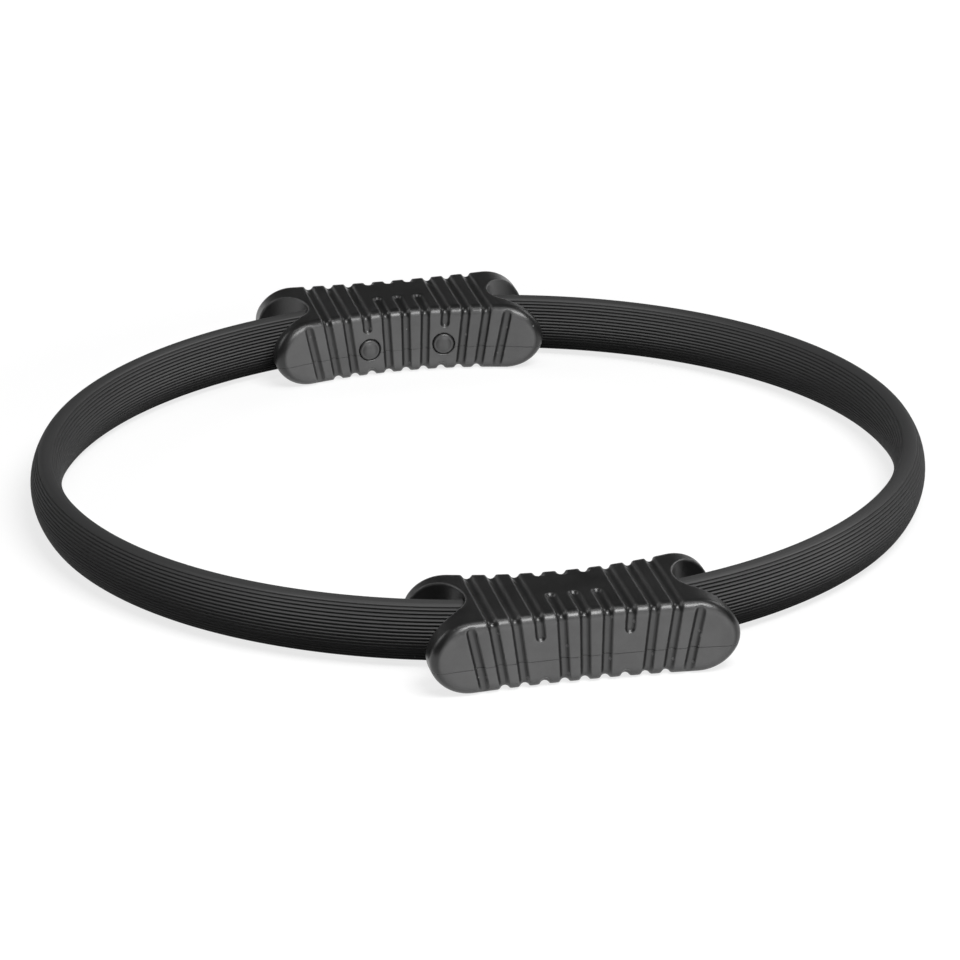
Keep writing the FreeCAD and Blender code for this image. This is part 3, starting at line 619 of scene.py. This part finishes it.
def press_parting_line(mesh):
    """The hairline round the grip where the two halves of its mould met."""
    bm = bmesh.new()
    bm.from_mesh(mesh)
    for step in PARTING_PLANES:
        level = PARTING_LEVEL + step * PARTING_HALF_WIDTH
        bmesh.ops.bisect_plane(bm, geom=bm.verts[:] + bm.edges[:] + bm.faces[:], dist=MERGE_DISTANCE,
                               plane_co=(0.0, 0.0, level), plane_no=(0.0, 0.0, 1.0))
    bm.normal_update()
    for vertex in bm.verts:
        if abs(vertex.co.z - PARTING_LEVEL) < PARTING_TOLERANCE:
            vertex.co -= vertex.normal * PARTING_DEPTH
    for face in bm.faces:
        face.smooth = True
    bm.to_mesh(mesh)
    bm.free()


def add_grips():
    """Both mouldings, each riding on the body that is named after its grip."""
    for end in ("front", "rear"):
        node = f"{end}_grip"
        mesh = soft_grip_mesh(node)
        press_parting_line(mesh)
        piece = add_piece(f"{node}_moulding", mesh, "grip_rubber")
        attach(piece, node)
        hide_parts(node)


def plug_profile(radius, length):
    """Half of a plug's section as (across, along) points, from its dome's top to its back's middle."""
    flat = radius - PLUG_RIM
    profile = []
    for step in range(PLUG_DOME_STEPS):
        share = step / PLUG_DOME_STEPS
        profile.append((flat * share, PLUG_PROUD - PLUG_DOME * share ** 2))
    for step in range(PLUG_RIM_STEPS + 1):
        angle = math.pi / 2 * step / PLUG_RIM_STEPS
        drop = PLUG_DOME + PLUG_RIM * (1 - math.cos(angle))
        profile.append((flat + PLUG_RIM * math.sin(angle), PLUG_PROUD - drop))
    return profile + [(radius, -length), (0.0, -length)]


def plug_mesh(name, node, facing):
    """A domed plug in place of its solid, square to the hollow face; facing is 1 where it looks along +Y."""
    low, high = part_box(node)
    middle = Vector(((low.x + high.x) / 2, high.y if facing > 0 else low.y, (low.z + high.z) / 2))
    lean = math.atan(2 * INNER_FACE_HOLLOW * middle.x / GRIP_HALF_LENGTH ** 2) * facing
    profile = plug_profile((high.x - low.x) / 2, high.y - low.y)
    points = [(across, along * facing, 0.0) for across, along in profile]
    bm = spun_bmesh(points, (0.0, 1.0, 0.0), PLUG_SIDES, MERGE_DISTANCE)
    bmesh.ops.recalc_face_normals(bm, faces=bm.faces)
    for edge in bm.edges:
        edge.smooth = edge.calc_face_angle(0.0) < PLUG_EDGE_ANGLE
    mesh = mesh_from(bm, name)
    mesh.transform(Matrix.Translation(middle) @ Matrix.Rotation(lean, 4, "Z"))
    return mesh


def add_plugs():
    """Two plugs on the inner face of each grip."""
    for end, facing in (("front", 1), ("rear", -1)):
        for side in ("right", "left"):
            node = f"{end}_plug_{side}"
            name = f"{node}_domed"
            piece = add_piece(name, plug_mesh(name, node, facing), "plug_plastic")
            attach(piece, f"{end}_grip")
            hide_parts(node)


# Studio
def from_ring(azimuth, elevation):
    """The direction from the ring's centre to a stand; azimuth 0 is in front, and it grows towards +X."""
    level = math.cos(elevation)
    return Vector((math.sin(azimuth) * level, -math.cos(azimuth) * level, math.sin(elevation)))


def add_camera():
    """The photograph's view: aimed at the ring's centre, rolled, and shifted to its place in the picture."""
    back = from_ring(CAMERA_AZIMUTH, CAMERA_ELEVATION)
    level = Vector((math.cos(CAMERA_AZIMUTH), math.sin(CAMERA_AZIMUTH), 0.0))
    upright = back.cross(level)
    across = level * math.cos(CAMERA_ROLL) + upright * math.sin(CAMERA_ROLL)
    upward = back.cross(across)
    camera = bpy.data.cameras.new("photo_view")
    camera.sensor_width = SENSOR_WIDTH
    camera.lens = SENSOR_WIDTH * FOCAL_PIXELS / IMAGE_SIDE
    camera.shift_x = 0.5 - RING_CENTRE_PIXEL[0] / IMAGE_SIDE
    camera.shift_y = RING_CENTRE_PIXEL[1] / IMAGE_SIDE - 0.5
    stand = put_in_scene("photo_view", camera)
    turned = Matrix((across, upward, back)).transposed()
    stand.matrix_world = Matrix.Translation(back * CAMERA_DISTANCE) @ turned.to_4x4()
    bpy.context.scene.camera = stand


def add_softbox(name, azimuth, elevation, distance, width, height, power):
    """A soft lamp that looks at the ring's centre from a direction given in degrees."""
    lamp = bpy.data.lights.new(name, "AREA")
    lamp.shape = "RECTANGLE"
    lamp.size = width
    lamp.size_y = height
    lamp.energy = power
    back = from_ring(math.radians(azimuth), math.radians(elevation))
    stand = put_in_scene(name, lamp)
    stand.location = back * distance
    stand.rotation_mode = "QUATERNION"
    stand.rotation_quaternion = (-back).to_track_quat("-Z", "Y")
    stand.visible_camera = False


def white_floor_finish():
    """White paper that shows as white to the camera and in reflections, and keeps soft shadows."""
    material, tree = empty_material("white_floor")
    path = add_node(tree, "LightPath").outputs
    seen = reckon(tree, "MAXIMUM", path["Is Camera Ray"], path["Is Glossy Ray"])
    seen = reckon(tree, "MAXIMUM", seen, path["Is Transmission Ray"])
    place = add_node(tree, "TexCoord").outputs["Object"]
    distance = add_node(tree, "VectorMath", {0: place}, operation="LENGTH").outputs["Value"]
    white = spread(tree, distance, GLOW_NEAR, GLOW_FAR, GLOW_NEAR_RADIUS, GLOW_FAR_RADIUS)
    strength = reckon(tree, "MULTIPLY", seen, white)
    paper = add_node(tree, "BsdfDiffuse", {"Color": (*grey(FLOOR_PAPER_GREY), 1.0)})
    glow = add_node(tree, "Emission", {"Color": WHITE, "Strength": strength})
    both = add_node(tree, "AddShader", {0: paper.outputs["BSDF"], 1: glow.outputs["Emission"]})
    add_node(tree, "OutputMaterial", {"Surface": both.outputs["Shader"]})
    return material


def add_floor():
    """A round floor at the grips' underside that sweeps up into a low wall."""
    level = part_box("front_grip")[0].z
    points = [(0.0, 0.0, level), (FLOOR_RADIUS, 0.0, level)]
    for step in range(1, COVE_STEPS + 1):
        angle = math.pi / 2 * step / COVE_STEPS
        across = FLOOR_RADIUS + COVE_RADIUS * math.sin(angle)
        points.append((across, 0.0, level + COVE_RADIUS * (1 - math.cos(angle))))
    mesh = mesh_from(spun_bmesh(points, (0.0, 0.0, 1.0), COVE_SIDES, FLOOR_MERGE_DISTANCE), "white_floor")
    mesh.materials.append(white_floor_finish())
    floor = put_in_scene("white_floor", mesh)


def add_light():
    """A dim white surround and the softboxes."""
    world = bpy.data.worlds.new("studio")
    world.use_nodes = True
    surround = world.node_tree.nodes["Background"]
    surround.inputs["Color"].default_value = WHITE
    surround.inputs["Strength"].default_value = SURROUND_STRENGTH
    bpy.context.scene.world = world
    for name, values in SOFTBOXES.items():
        add_softbox(name, *values)


for side, sign, last_body in (("right", 1, "rear_grip"), ("left", -1, "left_rear_end")):
    add_sleeve(side, sign, last_body)
add_grips()
add_plugs()
add_camera()
add_floor()
add_light()
bpy.context.scene.view_settings.view_transform = "Standard"
